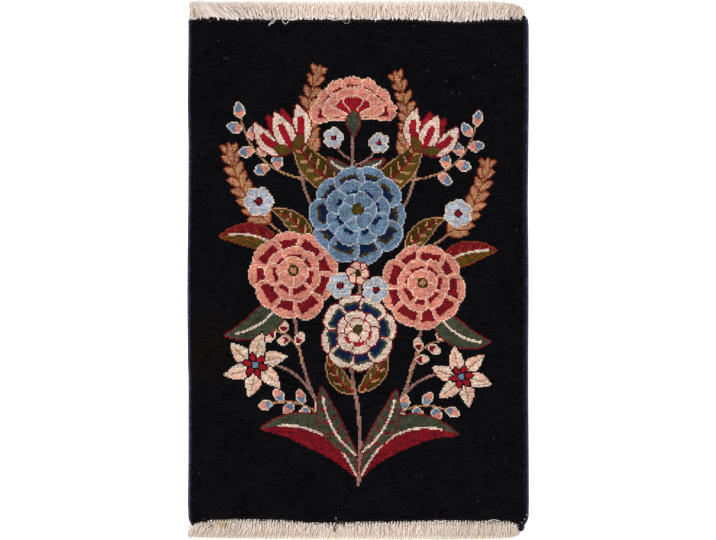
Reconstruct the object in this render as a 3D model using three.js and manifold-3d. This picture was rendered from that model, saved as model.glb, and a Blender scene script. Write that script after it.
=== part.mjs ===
// A small hand-knotted wool rug, lying flat. The wool pile and the cotton weave that it is knotted
// on are one slab. A selvedge overcast in wool runs down each side, and the warps come out of each
// end as a cotton fringe. Millimetres, +Z up, +X across the rug and +Y towards its upper end, with
// the origin on the floor under the middle of the rug.
import * as THREE from "three";
import { mergeVertices } from "three/addons/utils/BufferGeometryUtils.js";
import Module from "manifold-3d";

const wasm = await Module();
wasm.setup();

// Driving sizes
const RUG_WIDTH = 610; // over both selvedges
const PILE_LENGTH = 900; // between the two ends of the pile
const PILE_TOP = 9; // tips of the pile above the floor
const SELVEDGE_WIDTHS = { left: 6, right: 11 };
const SELVEDGE_HEIGHT = 6;
const WEB_DEPTH = 5; // how far the bare weave reaches past the pile at each end
const WEB_HEIGHT = 3;
const LOCK_PITCH = 4.4; // from one lock of the fringe to the next
const GAP = 0.4; // between two pieces that touch

// How far each side of the rug bows out from its straight line, at places along the rug
const SIDE_WAVES = [
  { at: -450, left: -2.8, right: -5 },
  { at: -444, left: -1, right: 0.1 },
  { at: -415, left: -0.1, right: 0.7 },
  { at: -343, left: -1, right: 0.4 },
  { at: -235, left: -1.2, right: -0.5 },
  { at: -195, left: -1.2, right: -0.6 },
  { at: -150, left: 0.1, right: -0.6 },
  { at: -56, left: 0.8, right: -0.1 },
  { at: 16, left: 0.6, right: -0.2 },
  { at: 123, left: -0.7, right: -1.3 },
  { at: 231, left: -1.2, right: -0.3 },
  { at: 302, left: 0.2, right: 0.4 },
  { at: 374, left: -0.7, right: 0.5 },
  { at: 444, left: -2, right: -0.2 },
  { at: 450, left: -2.4, right: -2 },
];

// How far each end of the pile reaches past its straight line, at places across the rug
const END_WAVES = [
  { at: -296, upper: 1.2, lower: 0 },
  { at: -284, upper: 1.3, lower: 1.5 },
  { at: -262, upper: 3, lower: -3 },
  { at: -219, upper: -1.5, lower: -4.5 },
  { at: -190, upper: 1, lower: -4.2 },
  { at: -133, upper: -1.6, lower: -2.8 },
  { at: -90, upper: -0.6, lower: 1.4 },
  { at: -47, upper: -1.2, lower: 2.2 },
  { at: 30, upper: 0.2, lower: 0.6 },
  { at: 80, upper: -0.4, lower: -0.6 },
  { at: 140, upper: -2.8, lower: -3.2 },
  { at: 183, upper: -5.6, lower: -2.6 },
  { at: 215, upper: -3.8, lower: -1.6 },
  { at: 240, upper: -0.4, lower: -3 },
  { at: 268, upper: -1.6, lower: 0.2 },
  { at: 284, upper: -1.6, lower: 3 },
  { at: 296, upper: 0, lower: 0.5 },
];

// How far the tips of the locks lie from the pile's straight line, at places across the rug
const FRINGE_REACHES = [
  { at: -300, upper: 31.5, lower: 26 },
  { at: -284, upper: 32.8, lower: 28.5 },
  { at: -233, upper: 32, lower: 30.5 },
  { at: -150, upper: 32, lower: 31.8 },
  { at: -47, upper: 32, lower: 32.6 },
  { at: 96, upper: 33.2, lower: 33 },
  { at: 183, upper: 33, lower: 32.4 },
  { at: 240, upper: 32, lower: 31.5 },
  { at: 268, upper: 30, lower: 31 },
  { at: 284, upper: 27, lower: 30.5 },
  { at: 291, upper: 22, lower: 30 },
];

// How far the tips of the locks lean towards +X, at places across the rug
const FRINGE_LEANS = [
  { at: -300, upper: -2, lower: -19 },
  { at: -275, upper: -7, lower: -14 },
  { at: -235, upper: -10, lower: -9 },
  { at: -180, upper: -4, lower: -5 },
  { at: -120, upper: 1, lower: 0 },
  { at: 0, upper: 0, lower: 0.5 },
  { at: 120, upper: 2, lower: -0.5 },
  { at: 200, upper: 4, lower: 0.5 },
  { at: 260, upper: 6, lower: 1 },
  { at: 291, upper: 9, lower: 1 },
];

// One column of a table at any place, straight from row to row
function read(table, column, place) {
  const next = table.findIndex((row) => row.at >= place);
  if (next === 0) return table[0][column];
  if (next === -1) return table.at(-1)[column];
  const before = table[next - 1];
  const after = table[next];
  const share = THREE.MathUtils.inverseLerp(before.at, after.at, place);
  return THREE.MathUtils.lerp(before[column], after[column], share);
}

const OUTWARD = { left: -1, right: 1 };

// The outer line of each side, and the line where the pile ends at each end
function outerLine(side, y) {
  return OUTWARD[side] * (RUG_WIDTH / 2 + read(SIDE_WAVES, side, y));
}
const pileEnd = {
  upper: (x) => PILE_LENGTH / 2 + read(END_WAVES, "upper", x),
  lower: (x) => -PILE_LENGTH / 2 - read(END_WAVES, "lower", x),
};

// A steady number from 0 to 1 for a lock, so that each build is the same
function chance(index, kind) {
  const spread = Math.sin(index * 12.9898 + kind * 78.233) * 43758.5453;
  return spread - Math.floor(spread);
}

// Moves every point of a geometry to where a function says
function reshape(geometry, place) {
  const points = geometry.getAttribute("position");
  const point = new THREE.Vector3();
  for (let i = 0; i < points.count; i++) {
    point.fromBufferAttribute(points, i);
    place(point);
    points.setXYZ(i, point.x, point.y, point.z);
  }
  geometry.computeVertexNormals();
  return geometry;
}

function solidOf(geometry) {
  const bare = geometry.clone();
  bare.deleteAttribute("normal");
  bare.deleteAttribute("uv");
  const merged = mergeVertices(bare);
  return new wasm.Manifold(
    new wasm.Mesh({
      numProp: 3,
      vertProperties: merged.getAttribute("position").array,
      triVerts: new Uint32Array(merged.index.array),
    }),
  );
}

function geometryOf(solid) {
  const mesh = solid.getMesh();
  const geometry = new THREE.BufferGeometry();
  geometry.setAttribute(
    "position",
    new THREE.BufferAttribute(new Float32Array(mesh.vertProperties), 3),
  );
  geometry.setIndex(new THREE.BufferAttribute(mesh.triVerts, 1));
  const faceted = geometry.toNonIndexed();
  faceted.computeVertexNormals();
  return faceted;
}

// The knotted field: pile and weave as one slab, its top edge worn round
const EDGE_ROUND = 6; // width of the rounded edge
const EDGE_SHOULDER = 1.8; // a line inside the rounded edge
const EDGE_DROP = 2; // how much lower the pile is at the very edge
const SIDE_PULL = 15; // how far in from a side the waves of that side reach

// The lines of the slab's grid from one edge to the other: the edges, the shoulders of the rounding
// and each row of a table between them
function gridLines(from, to, table) {
  const low = from + EDGE_ROUND;
  const high = to - EDGE_ROUND;
  const rows = table.map((row) => row.at).filter((at) => at > low + 1 && at < high - 1);
  return [from, from + EDGE_SHOULDER, low, ...rows, high, to - EDGE_SHOULDER, to];
}

function fieldGeometry() {
  const edges = {
    left: -RUG_WIDTH / 2 + SELVEDGE_WIDTHS.left + GAP,
    right: RUG_WIDTH / 2 - SELVEDGE_WIDTHS.right - GAP,
  };
  const halfLength = PILE_LENGTH / 2;
  const across = gridLines(edges.left, edges.right, END_WAVES);
  const along = gridLines(-halfLength, halfLength, SIDE_WAVES);
  const box = new THREE.BoxGeometry(1, 1, 1, across.length - 1, along.length - 1, 1);
  return reshape(box, (point) => {
    const x = across[Math.round((point.x + 0.5) * (across.length - 1))];
    const y = along[Math.round((point.y + 0.5) * (along.length - 1))];
    const side = x < 0 ? "left" : "right";
    const fromSide = Math.abs(x - edges[side]);
    const fromEnd = halfLength - Math.abs(y);
    const worn = Math.max(0, 1 - Math.min(fromSide, fromEnd) / EDGE_ROUND);
    const pull = Math.max(0, 1 - fromSide / SIDE_PULL);
    const share = THREE.MathUtils.inverseLerp(-halfLength, halfLength, y);
    point.x = x + OUTWARD[side] * pull * read(SIDE_WAVES, side, y);
    point.y = THREE.MathUtils.lerp(pileEnd.lower(point.x), pileEnd.upper(point.x), share);
    point.z = point.z > 0 ? PILE_TOP - EDGE_DROP * worn * worn : 0;
  });
}

// A selvedge: the outer warps overcast with wool, a soft cord with a flat underside
const SELVEDGE_EVEN = 440; // its line is the rug's own side up to here, both ways

// Past that: how far beyond the pile's straight end its centre line is, how far in from the side's
// straight line, and its width there
const SELVEDGE_TAILS = {
  left: {
    lower: [
      { past: -4, inward: 0.7, width: 6 },
      { past: 1.5, inward: 2.7, width: 6 },
      { past: 4.8, inward: 4.8, width: 5 },
    ],
    upper: [{ past: 0, inward: 2.2, width: 6 }],
  },
  right: {
    lower: [
      { past: -4, inward: 0.6, width: 10.5 },
      { past: 3.5, inward: 3.2, width: 9.5 },
      { past: 10.8, inward: 7.3, width: 8.5 },
      { past: 15.4, inward: 9.1, width: 7 },
    ],
    upper: [
      { past: -3, inward: 0.6, width: 10 },
      { past: 3.5, inward: 2.1, width: 8.5 },
      { past: 9, inward: 2.6, width: 7 },
    ],
  },
};

// The cord's section from its top round to its underside, in half widths and in heights
const SELVEDGE_SECTION = [
  { across: 0.4, up: 1 },
  { across: 0.92, up: 0.65 },
  { across: 1, up: 0.3 },
  { across: 0.6, up: 0 },
  { across: -0.6, up: 0 },
  { across: -1, up: 0.3 },
  { across: -0.92, up: 0.65 },
  { across: -0.4, up: 1 },
];

function selvedgeRoute(side) {
  const outward = OUTWARD[side];
  const width = SELVEDGE_WIDTHS[side];
  const even = SIDE_WAVES.map((row) => row.at).filter((at) => Math.abs(at) < SELVEDGE_EVEN);
  const main = [-SELVEDGE_EVEN, ...even, SELVEDGE_EVEN].map((y) => ({
    x: outerLine(side, y) - (outward * width) / 2,
    y,
    width,
  }));
  const tail = (end, way) =>
    SELVEDGE_TAILS[side][end].map((row) => ({
      x: outward * (RUG_WIDTH / 2 - width / 2 - row.inward),
      y: way * (PILE_LENGTH / 2 + row.past),
      width: row.width,
    }));
  return [...tail("lower", -1).toReversed(), ...main, ...tail("upper", 1)];
}

function selvedgeGeometry(side) {
  const route = selvedgeRoute(side);
  const sides = SELVEDGE_SECTION.length;
  const turn = (2 * Math.PI) / sides;
  const rod = new THREE.CylinderGeometry(1, 1, 1, sides, route.length - 1, false, turn / 2);
  return reshape(rod, (point) => {
    const row = Math.round((point.y + 0.5) * (route.length - 1));
    const before = route[Math.max(row - 1, 0)];
    const after = route[Math.min(row + 1, route.length - 1)];
    const along = new THREE.Vector2(after.x - before.x, after.y - before.y).normalize();
    const onAxis = Math.hypot(point.x, point.z) < 0.5;
    const corner = Math.floor(Math.atan2(point.x, point.z) / turn + sides) % sides;
    const spot = onAxis ? { across: 0, up: 0.5 } : SELVEDGE_SECTION[corner];
    const offset = (spot.across * route[row].width) / 2;
    point.x = route[row].x + along.y * offset;
    point.y = route[row].y - along.x * offset;
    point.z = spot.up * SELVEDGE_HEIGHT;
  });
}

// A fringe: locks of loose warps that lie on the floor, their roots fused into the bare weave
const FRINGES = {
  upper: { from: -302, to: 291, outward: 1 },
  lower: { from: -291, to: 285, outward: -1 },
};
const LOCK_ROOT = { width: 2.7, height: 2.4 };
const LOCK_TIP = { width: 1.5, height: 1.3 };
const LOCK_STEPS = 3;
const LOCK_BITE = 2; // how deep a lock's root is sunk in the weave
const LOCK_SHORTFALL = 2; // the most that a lock stays short of the fringe's reach
const LOCK_SWAY = 0.5;
const LOCK_MARGIN = 2.5; // from the end of the weave to the first lock

function webGeometry(end) {
  const { from, to, outward } = FRINGES[end];
  const rows = END_WAVES.map((row) => row.at).filter((at) => at > from + 1 && at < to - 1);
  const across = [from, ...rows, to];
  const box = new THREE.BoxGeometry(1, 1, 1, across.length - 1, 1, 1);
  return reshape(box, (point) => {
    const outer = point.y * outward > 0;
    point.x = across[Math.round((point.x + 0.5) * (across.length - 1))];
    point.y = pileEnd[end](point.x) + outward * (outer ? WEB_DEPTH : GAP);
    point.z = point.z > 0 ? WEB_HEIGHT : 0;
  });
}

function lockGeometry(end, index, rootX) {
  const { outward } = FRINGES[end];
  const kind = outward * 10;
  const fullness = 0.88 + 0.24 * chance(index, kind + 1);
  const sway = LOCK_SWAY * (2 * chance(index, kind + 2) - 1);
  const lean = read(FRINGE_LEANS, end, rootX);
  const reach = read(FRINGE_REACHES, end, rootX) - LOCK_SHORTFALL * chance(index, kind + 3);
  const rootY = pileEnd[end](rootX) + outward * (WEB_DEPTH - LOCK_BITE);
  const tipY = outward * (PILE_LENGTH / 2 + reach);
  const box = new THREE.BoxGeometry(1, 1, 1, 1, LOCK_STEPS, 1);
  return reshape(box, (point) => {
    const out = 0.5 + point.y * outward;
    const width = THREE.MathUtils.lerp(LOCK_ROOT.width, LOCK_TIP.width, out) * fullness;
    const height = THREE.MathUtils.lerp(LOCK_ROOT.height, LOCK_TIP.height, out);
    const bend = lean * out ** 1.3 + sway * Math.sin(Math.PI * 1.5 * out);
    point.x = rootX + bend + point.x * width;
    point.y = THREE.MathUtils.lerp(rootY, tipY, out);
    point.z = point.z > 0 ? height : 0;
  });
}

function fringeGeometry(end) {
  const { from, to } = FRINGES[end];
  const room = to - from - 2 * LOCK_MARGIN;
  const count = Math.floor(room / LOCK_PITCH) + 1;
  const first = from + LOCK_MARGIN + (room - (count - 1) * LOCK_PITCH) / 2;
  const pieces = [solidOf(webGeometry(end))];
  for (let index = 0; index < count; index++) {
    pieces.push(solidOf(lockGeometry(end, index, first + index * LOCK_PITCH)));
  }
  return geometryOf(wasm.Manifold.union(pieces));
}

// Finishes
const pileWool = new THREE.MeshStandardMaterial({ color: 0x0c0d11, roughness: 0.95, metalness: 0 });
const selvedgeWool = new THREE.MeshStandardMaterial({ color: 0x231f38, roughness: 0.9, metalness: 0 });
const fringeCotton = new THREE.MeshStandardMaterial({ color: 0xe4d8c8, roughness: 0.9, metalness: 0 });

const rug = new THREE.Group();

function addPiece(name, geometry, material) {
  const piece = new THREE.Mesh(geometry, material);
  piece.name = name;
  rug.add(piece);
}

addPiece("knotted_field", fieldGeometry(), pileWool);
addPiece("selvedge_left", selvedgeGeometry("left"), selvedgeWool);
addPiece("selvedge_right", selvedgeGeometry("right"), selvedgeWool);
addPiece("fringe_upper", fringeGeometry("upper"), fringeCotton);
addPiece("fringe_lower", fringeGeometry("lower"), fringeCotton);

export default rug;
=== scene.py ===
import bpy
import numpy as np
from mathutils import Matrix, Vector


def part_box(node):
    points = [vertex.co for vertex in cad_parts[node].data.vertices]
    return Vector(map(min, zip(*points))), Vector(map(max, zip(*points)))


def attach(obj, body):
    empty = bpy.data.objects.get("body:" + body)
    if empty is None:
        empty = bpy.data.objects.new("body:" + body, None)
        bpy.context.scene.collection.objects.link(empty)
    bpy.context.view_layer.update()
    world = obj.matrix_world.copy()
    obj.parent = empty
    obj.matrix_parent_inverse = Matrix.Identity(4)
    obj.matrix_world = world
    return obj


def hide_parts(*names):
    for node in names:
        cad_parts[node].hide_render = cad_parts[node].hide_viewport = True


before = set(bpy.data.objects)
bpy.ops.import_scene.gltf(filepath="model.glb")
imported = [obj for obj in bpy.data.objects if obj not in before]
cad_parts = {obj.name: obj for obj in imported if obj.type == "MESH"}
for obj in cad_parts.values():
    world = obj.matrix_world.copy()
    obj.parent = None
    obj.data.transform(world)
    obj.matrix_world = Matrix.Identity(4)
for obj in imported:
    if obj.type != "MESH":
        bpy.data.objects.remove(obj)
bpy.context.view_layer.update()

# The camera. The rug is seen from straight above its middle, through a long lens, so that its two
# sides stay parallel in the picture.
MM = 0.001
VIEW_WIDTH = 1283.4 * MM  # what the picture takes in, measured over the pile
VIEW_MIDDLE = (-0.4 * MM, 1.3 * MM)
LENS = 85
SENSOR = 36
pile_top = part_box("knotted_field")[1][2]
camera_height = pile_top + VIEW_WIDTH * LENS / SENSOR
bpy.ops.object.camera_add(location=(*VIEW_MIDDLE, camera_height), rotation=(0, 0, 0))
camera = bpy.context.object
camera.name = "camera"
camera.data.lens = LENS
camera.data.sensor_width = SENSOR
bpy.context.scene.camera = camera


# The floor. A sheet of white background paper lies under the rug. It glows a little, as paper does
# that is lit on its own, so the rug stands on plain white.
def linear(colour):
    """An sRGB hex colour as linear red, green and blue, with a full alpha."""
    shares = [int(colour[i:i + 2], 16) / 255 for i in (0, 2, 4)]
    return [s / 12.92 if s <= 0.04045 else ((s + 0.055) / 1.055) ** 2.4 for s in shares] + [1]


def new_material(name):
    """An empty material and its node tree, with a shader on the output."""
    material = bpy.data.materials.new(name)
    material.use_nodes = True
    tree = material.node_tree
    return material, tree, tree.nodes["Principled BSDF"]


def add_node(tree, kind, inputs, **settings):
    """Adds a node. Each input is either a plain value or the output that feeds it."""
    node = tree.nodes.new("ShaderNode" + kind)
    for setting, value in settings.items():
        setattr(node, setting, value)
    for name, value in inputs.items():
        if isinstance(value, bpy.types.NodeSocket):
            tree.links.new(value, node.inputs[name])
        else:
            node.inputs[name].default_value = value
    return node


FLOOR_SIDE = 8
FLOOR_CLEARANCE = 0.2 * MM
bpy.ops.mesh.primitive_plane_add(size=FLOOR_SIDE, location=(0, 0, -FLOOR_CLEARANCE))
floor = bpy.context.object
floor.name = "floor"
bpy.ops.object.transform_apply(location=True, rotation=True, scale=True)

# White paper: dead matt, with no shine at all
paper, tree, shader = new_material("white_background_paper_matt")
shader.inputs["Base Color"].default_value = linear("FFFFFF")
shader.inputs["Roughness"].default_value = 1
shader.inputs["Specular IOR Level"].default_value = 0
shader.inputs["Emission Color"].default_value = linear("FFFFFF")
shader.inputs["Emission Strength"].default_value = 0.6
floor.data.materials.append(paper)

# The light. A white tent lights the rug from all round, and a broad soft lamp from the upper left
# gives the knots and the fringe their small shadows.
TENT_LIGHT = 0.55
LAMP_LIGHT = 2.76
LAMP_WIDTH = np.radians(28)
LAMP_TILT = (np.radians(-38), np.radians(-30), 0)
world = bpy.data.worlds.new("white_tent")
world.use_nodes = True
world.node_tree.nodes["Background"].inputs["Color"].default_value = linear("FFFFFF")
world.node_tree.nodes["Background"].inputs["Strength"].default_value = TENT_LIGHT
bpy.context.scene.world = world
bpy.ops.object.light_add(type="SUN", location=(-1, 1, 2), rotation=LAMP_TILT)
lamp = bpy.context.object
lamp.name = "soft_lamp"
lamp.data.energy = LAMP_LIGHT
lamp.data.angle = LAMP_WIDTH
bpy.context.scene.view_settings.view_transform = "Standard"


# The pattern is knotted from a chart that names one yarn for each knot. It is a plain garden
# spray, drawn here from blades, strokes and discs: stems fan out from one foot, and rosettes,
# tulips, a carnation, star lilies and leaves sit on them.
COLUMNS, ROWS = 228, 346
KNOT = 2.6  # mm from one knot to the next

# Each yarn and its next hank, which took the dye a little differently
YARNS = {
    "ground": ("0C0C10", "130E0D"),
    "coral": ("D98F77", "D07C70"),
    "peach": ("E8BDA6", "DEAA98"),
    "cream": ("E2CBB8", "D6B8A6"),
    "crimson": ("7E161F", "681420"),
    "red": ("A21A29", "8C1723"),
    "blue": ("6C88A1", "60728A"),
    "pale blue": ("ADB8C5", "A2A6B6"),
    "navy": ("0E2348", "161D3C"),
    "olive": ("48340B", "3A2C0F"),
    "moss": ("5C4616", "4E401C"),
    "green": ("454B3A", "393B2F"),
    "tan": ("B8865F", "A2705A"),
    "bark": ("997268", "86625A"),
    "rust": ("8C3B20", "7A3220"),
}
NUMBER = {yarn: number for number, yarn in enumerate(YARNS)}
MIDDLE = np.array([(COLUMNS - 1) / 2, (ROWS - 1) / 2])
chart = np.zeros((ROWS, COLUMNS), int)
hand = np.random.default_rng(41)


def window(points, margin):
    """The knots around some points: their rows and columns, and where they lie in millimetres."""
    points = np.asarray(points, float)
    low = np.floor((points.min(axis=0) - margin) / KNOT + MIDDLE).astype(int)
    high = np.ceil((points.max(axis=0) + margin) / KNOT + MIDDLE).astype(int) + 1
    low = np.clip(low, 0, [COLUMNS, ROWS])
    high = np.clip(high, 0, [COLUMNS, ROWS])
    column, row = np.meshgrid(np.arange(low[0], high[0]), np.arange(low[1], high[1]))
    rows_and_columns = (slice(low[1], high[1]), slice(low[0], high[0]))
    return rows_and_columns, (column - MIDDLE[0]) * KNOT, (row - MIDDLE[1]) * KNOT


def lay(area, mask, yarn):
    """Names one yarn for some knots of the chart."""
    chart[area][mask] = NUMBER[yarn]


def grown(mask):
    """The mask and the knots next to it."""
    big = mask.copy()
    big[1:] |= mask[:-1]
    big[:-1] |= mask[1:]
    big[:, 1:] |= mask[:, :-1]
    big[:, :-1] |= mask[:, 1:]
    return big


def at(place, distance, angle):
    return np.array([place[0] + distance * np.cos(angle), place[1] + distance * np.sin(angle)])


def bow(start, end, bend, steps=24):
    """Points from start to end, bowed to the left by a share of the way between them."""
    start, end = np.asarray(start, float), np.asarray(end, float)
    run = end - start
    share = np.linspace(0, 1, steps + 1)[:, None]
    return start + run * share + np.array([-run[1], run[0]]) * bend * 4 * share * (1 - share)


def beside(line, margin):
    """For the knots near a line: how far along it they lie, and how far off it, left counting as plus."""
    area, x, y = window(line, margin)
    start, run = line[:-1, :, None, None], np.diff(line, axis=0)[:, :, None, None]
    from_start = np.stack([x, y])[None] - start
    share = np.clip((from_start * run).sum(axis=1) / np.maximum((run ** 2).sum(axis=1), 1e-6), 0, 1)
    off = from_start - run * share[:, None]
    distance = np.hypot(off[:, 0], off[:, 1])
    side = np.sign(run[:, 0] * off[:, 1] - run[:, 1] * off[:, 0])
    nearest = distance.argmin(axis=0)[None]
    steps = np.arange(len(run))[:, None, None]
    along = np.take_along_axis((steps + share) / len(run), nearest, axis=0)[0]
    return area, along, np.take_along_axis(distance * side, nearest, axis=0)[0]


def stroke(line, width, yarn):
    area, _, off = beside(line, width)
    lay(area, np.abs(off) < width / 2, yarn)


def disc(place, radius, yarn):
    area, x, y = window([place], radius)
    lay(area, np.hypot(x - place[0], y - place[1]) < radius, yarn)


def blade(line, width, belly=0.5, point=1.0):
    """A petal or leaf on a line: its knots, how far along and off it they lie, and its half width there."""
    area, along, off = beside(line, width)
    half = width / 2 * np.sin(np.pi * along ** (np.log(0.5) / np.log(belly))) ** point
    return area, (np.abs(off) < half) & (along < 1), along, off, half


def petal(line, width, fill, edge, heart=None, rim=None, belly=0.66, point=0.5, reach=0.7, share=0.6):
    """A blade with an edge, and a heart that takes a share of its width and reaches part of the way."""
    area, whole, along, off, half = blade(line, width, belly, point)
    lay(area, grown(whole), edge)
    lay(area, whole, fill)
    if heart:
        inner = (np.abs(off) < half * share) & (along < reach)
        if rim:
            lay(area, grown(grown(inner)) & whole, rim)
        lay(area, inner & whole, heart)


def every_other(count):
    """The order in which petals are laid so that they overlap: the even ones, then the odd ones."""
    return [*range(0, count, 2), *range(1, count, 2)]


RING_RISE = 0.035  # how much higher each ring of a rosette sits than the last, as a share of its size


def rosette(place, size, turn, rings, eye=("olive", "tan")):
    """Rings of petals from the outside in, each a little higher than the last."""
    for step, (count, ring_turn, start, stop, width, yarns, reach, share) in enumerate(rings):
        centre = np.array(place) + [0, RING_RISE * size * step]
        for i in every_other(count):
            angle = turn + ring_turn + 2 * np.pi * (i + hand.uniform(-0.08, 0.08)) / count
            out = size * stop * hand.uniform(0.95, 1.03)
            line = bow(at(centre, size * start, angle), at(centre, out, angle), hand.uniform(-0.05, 0.05))
            petal(line, size * width * hand.uniform(0.95, 1.05), *yarns, belly=0.68, point=0.45,
                  reach=reach, share=share)
    top = np.array(place) + [0, RING_RISE * size * len(rings)]
    disc(top, size * 0.13, eye[0])
    disc(top, size * 0.075, eye[1])


# Each ring's number of petals, its turn, where they start and stop, their width, their yarns from fill
# and edge to heart and rim, and how much of their length and of their width the heart takes
CORAL_RINGS = [
    (9, 0.2, 0.3, 1.0, 0.68, ("coral", "peach", "crimson"), 0.76, 0.7),
    (7, 0.5, 0.14, 0.62, 0.5, ("coral", "peach", "crimson"), 0.66, 0.7),
    (5, 0.1, 0.02, 0.34, 0.36, ("coral", "peach"), 0, 0),
]
BLUE_RINGS = [
    (10, 0.0, 0.3, 1.0, 0.6, ("blue", "pale blue", "navy", "olive"), 0.7, 0.5),
    (8, 0.3, 0.16, 0.68, 0.46, ("blue", "pale blue", "navy"), 0.6, 0.45),
    (6, 0.1, 0.02, 0.38, 0.36, ("blue", "pale blue"), 0, 0),
]
CREAM_RINGS = [
    (8, 0.0, 0.28, 1.0, 0.72, ("cream", "crimson", "navy", "green"), 0.66, 0.6),
    (6, 0.5, 0.12, 0.58, 0.52, ("cream", "crimson", "red"), 0.55, 0.5),
    (5, 0.2, 0.02, 0.32, 0.34, ("cream", "red"), 0, 0),
]


def carnation(place, size, angle, rows):
    """Rows of toothed petals that fan out of a green cup."""
    for count, spread, out, fill, edge, heart in rows:
        for i in sorted(range(count), key=lambda i: -abs(i - (count - 1) / 2)):
            turned = angle + spread * (2 * i / (count - 1) - 1)
            line = bow(place, at(place, size * out, turned), 0)
            area, _, along, off, half = blade(line, size * 0.44, 0.8, 0.8)
            teeth = np.abs((off / np.maximum(half, KNOT) * 1.5) % 1 - 0.5) * 0.16
            whole = (np.abs(off) < half) & (along < 1 - teeth)
            lay(area, grown(whole), edge)
            lay(area, whole, fill)
            if heart:
                lay(area, whole & (along < 0.8) & (np.abs(off) < half * 0.6), heart)
    cup = bow(at(place, -size * 0.34, angle), at(place, size * 0.22, angle), 0)
    petal(cup, size * 0.3, "green", "crimson", belly=0.6, point=0.7)


# Each row's number of petals, how far it fans out, its length, and the yarns of fill, edge and heart
CARNATION_ROWS = [
    (7, 1.3, 1.0, "coral", "peach", "crimson"),
    (6, 1.0, 0.76, "coral", "peach", None),
    (3, 0.42, 0.56, "red", "peach", None),
]


def tulip(place, size, angle, fill, edge, flame):
    for side in (1, -1):
        line = bow(place, at(place, size, angle + side * 0.52), side * 0.16)
        petal(line, size * 0.44, fill, edge, flame, belly=0.45, point=0.9, reach=0.75, share=0.4)
    for side in (1, -1):
        line = bow(place, at(place, size * 0.92, angle + side * 0.2), 0)
        petal(line, size * 0.3, flame, edge, belly=0.5, point=0.9)
    line = bow(place, at(place, size * 0.9, angle), 0)
    petal(line, size * 0.44, fill, edge, flame, belly=0.42, point=0.85, reach=0.7, share=0.36)
    for side in (1, -1):
        line = bow(place, at(place, size * 0.42, angle + side * 0.95), side * 0.1)
        petal(line, size * 0.2, "moss", "crimson", belly=0.5, point=0.9)


def blossom(place, size, turn, fill, edge, eye, petals=6):
    """A small flower of plain petals round a dark ring and an eye."""
    for i in range(petals):
        angle = turn + 2 * np.pi * i / petals
        line = bow(at(place, size * 0.15, angle), at(place, size, angle), 0)
        petal(line, size * 0.8, fill, edge, belly=0.6)
    disc(place, size * 0.3, "ground")
    disc(place, size * 0.22, eye)


def star_lily(place, size, turn, petals=6):
    """Pointed petals, each paler on one side of its rib, with red stamens between them."""
    for i in every_other(petals):
        angle = turn + 2 * np.pi * i / petals
        line = bow(place, at(place, size, angle), 0.05)
        area, whole, along, off, half = blade(line, size * 0.48, 0.45, 0.9)
        lay(area, grown(whole), "ground")
        lay(area, whole, "cream")
        lay(area, whole & (off > half * 0.35), "peach")
        lay(area, whole & (np.abs(off) < KNOT * 0.6) & (along < 0.8), "tan")
    for i in range(petals):
        angle = turn + 2 * np.pi * (i + 0.5) / petals
        line = bow(place, at(place, size * 0.38, angle), 0)
        petal(line, size * 0.16, "red", "ground", belly=0.6, point=0.7)
    disc(place, size * 0.14, "ground")
    disc(place, size * 0.1, "blue")


def side_shoots(line, count, first):
    """Where shoots leave a twig, in turn left and right, and which way they point."""
    for i in range(count):
        share = first + (1 - first) * i / (count - 1)
        step = min(int(share * (len(line) - 1)), len(line) - 2)
        run = line[step + 1] - line[step]
        yield i, share, line[step], np.arctan2(run[1], run[0])


def bud_sprig(start, end, bend, buds, size, tips, bases):
    """A thin twig with buds in turn left and right and one at its end."""
    twig = bow(start, end, bend, 60)
    stroke(twig, 3.4, "tan")
    for i, _, place, angle in side_shoots(twig, buds, 0.3):
        angle += 0 if i == buds - 1 else (1.0 if i % 2 else -1.0)
        line = bow(at(place, size * 0.3, angle), at(place, size * 1.9, angle), 0)
        area, whole, along, _, _ = blade(line, size, 0.45, 0.7)
        lay(area, grown(whole), "cream")
        lay(area, whole, tips)
        lay(area, whole & (along < 0.45), bases)


def frond(start, end, bend, pairs, size):
    """A rib with pairs of leaflets that grow smaller towards its tip."""
    rib = bow(start, end, bend, 60)
    stroke(rib, 3.4, "tan")
    for _, share, place, angle in side_shoots(rib, pairs, 0.2):
        long = size * (1 - 0.4 * share)
        for side in (1, -1):
            line = bow(place, at(place, long, angle + side * 0.62), -side * 0.08)
            petal(line, long * 0.36, "tan", "rust", belly=0.55, point=0.8)
    petal(bow(rib[-6], at(rib[-1], size * 0.5, angle), 0), size * 0.24, "tan", "rust", belly=0.5, point=0.8)


def leaf(start, end, width, bend, left, right, edge, rib, veins=0, belly=0.42):
    """A leaf with a half of each yarn, a rib down the middle and side veins off it."""
    area, whole, along, off, half = blade(bow(start, end, bend), width, belly, 0.85)
    lay(area, grown(whole), edge)
    lay(area, whole, left)
    lay(area, whole & (off < 0), right)
    inner = np.abs(off) < half * 0.72
    if veins:
        vein = (along * veins - np.abs(off) / width * 1.6) % 1 < 0.24
        lay(area, whole & inner & vein & (along > 0.1), edge)
    lay(area, whole & (np.abs(off) < KNOT * 0.75) & (along < 0.88), rib)


FOOT = (3, -381)
MAIN_STEM = [*bow(FOOT, (0, -232), -0.03), *bow((0, -232), (-6, -104), 0.05),
             *bow((-6, -104), (5, 104), -0.04), *bow((5, 104), (-6, 272), 0.04)]
LEFT_STEM = bow((2, -352), (-112, -8), 0.10)
RIGHT_STEM = bow((3, -338), (116, -30), -0.11)


def on(line, share):
    """A place on a stem, as a share of the way up."""
    return tuple(line[round(share * (len(line) - 1))])


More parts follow.
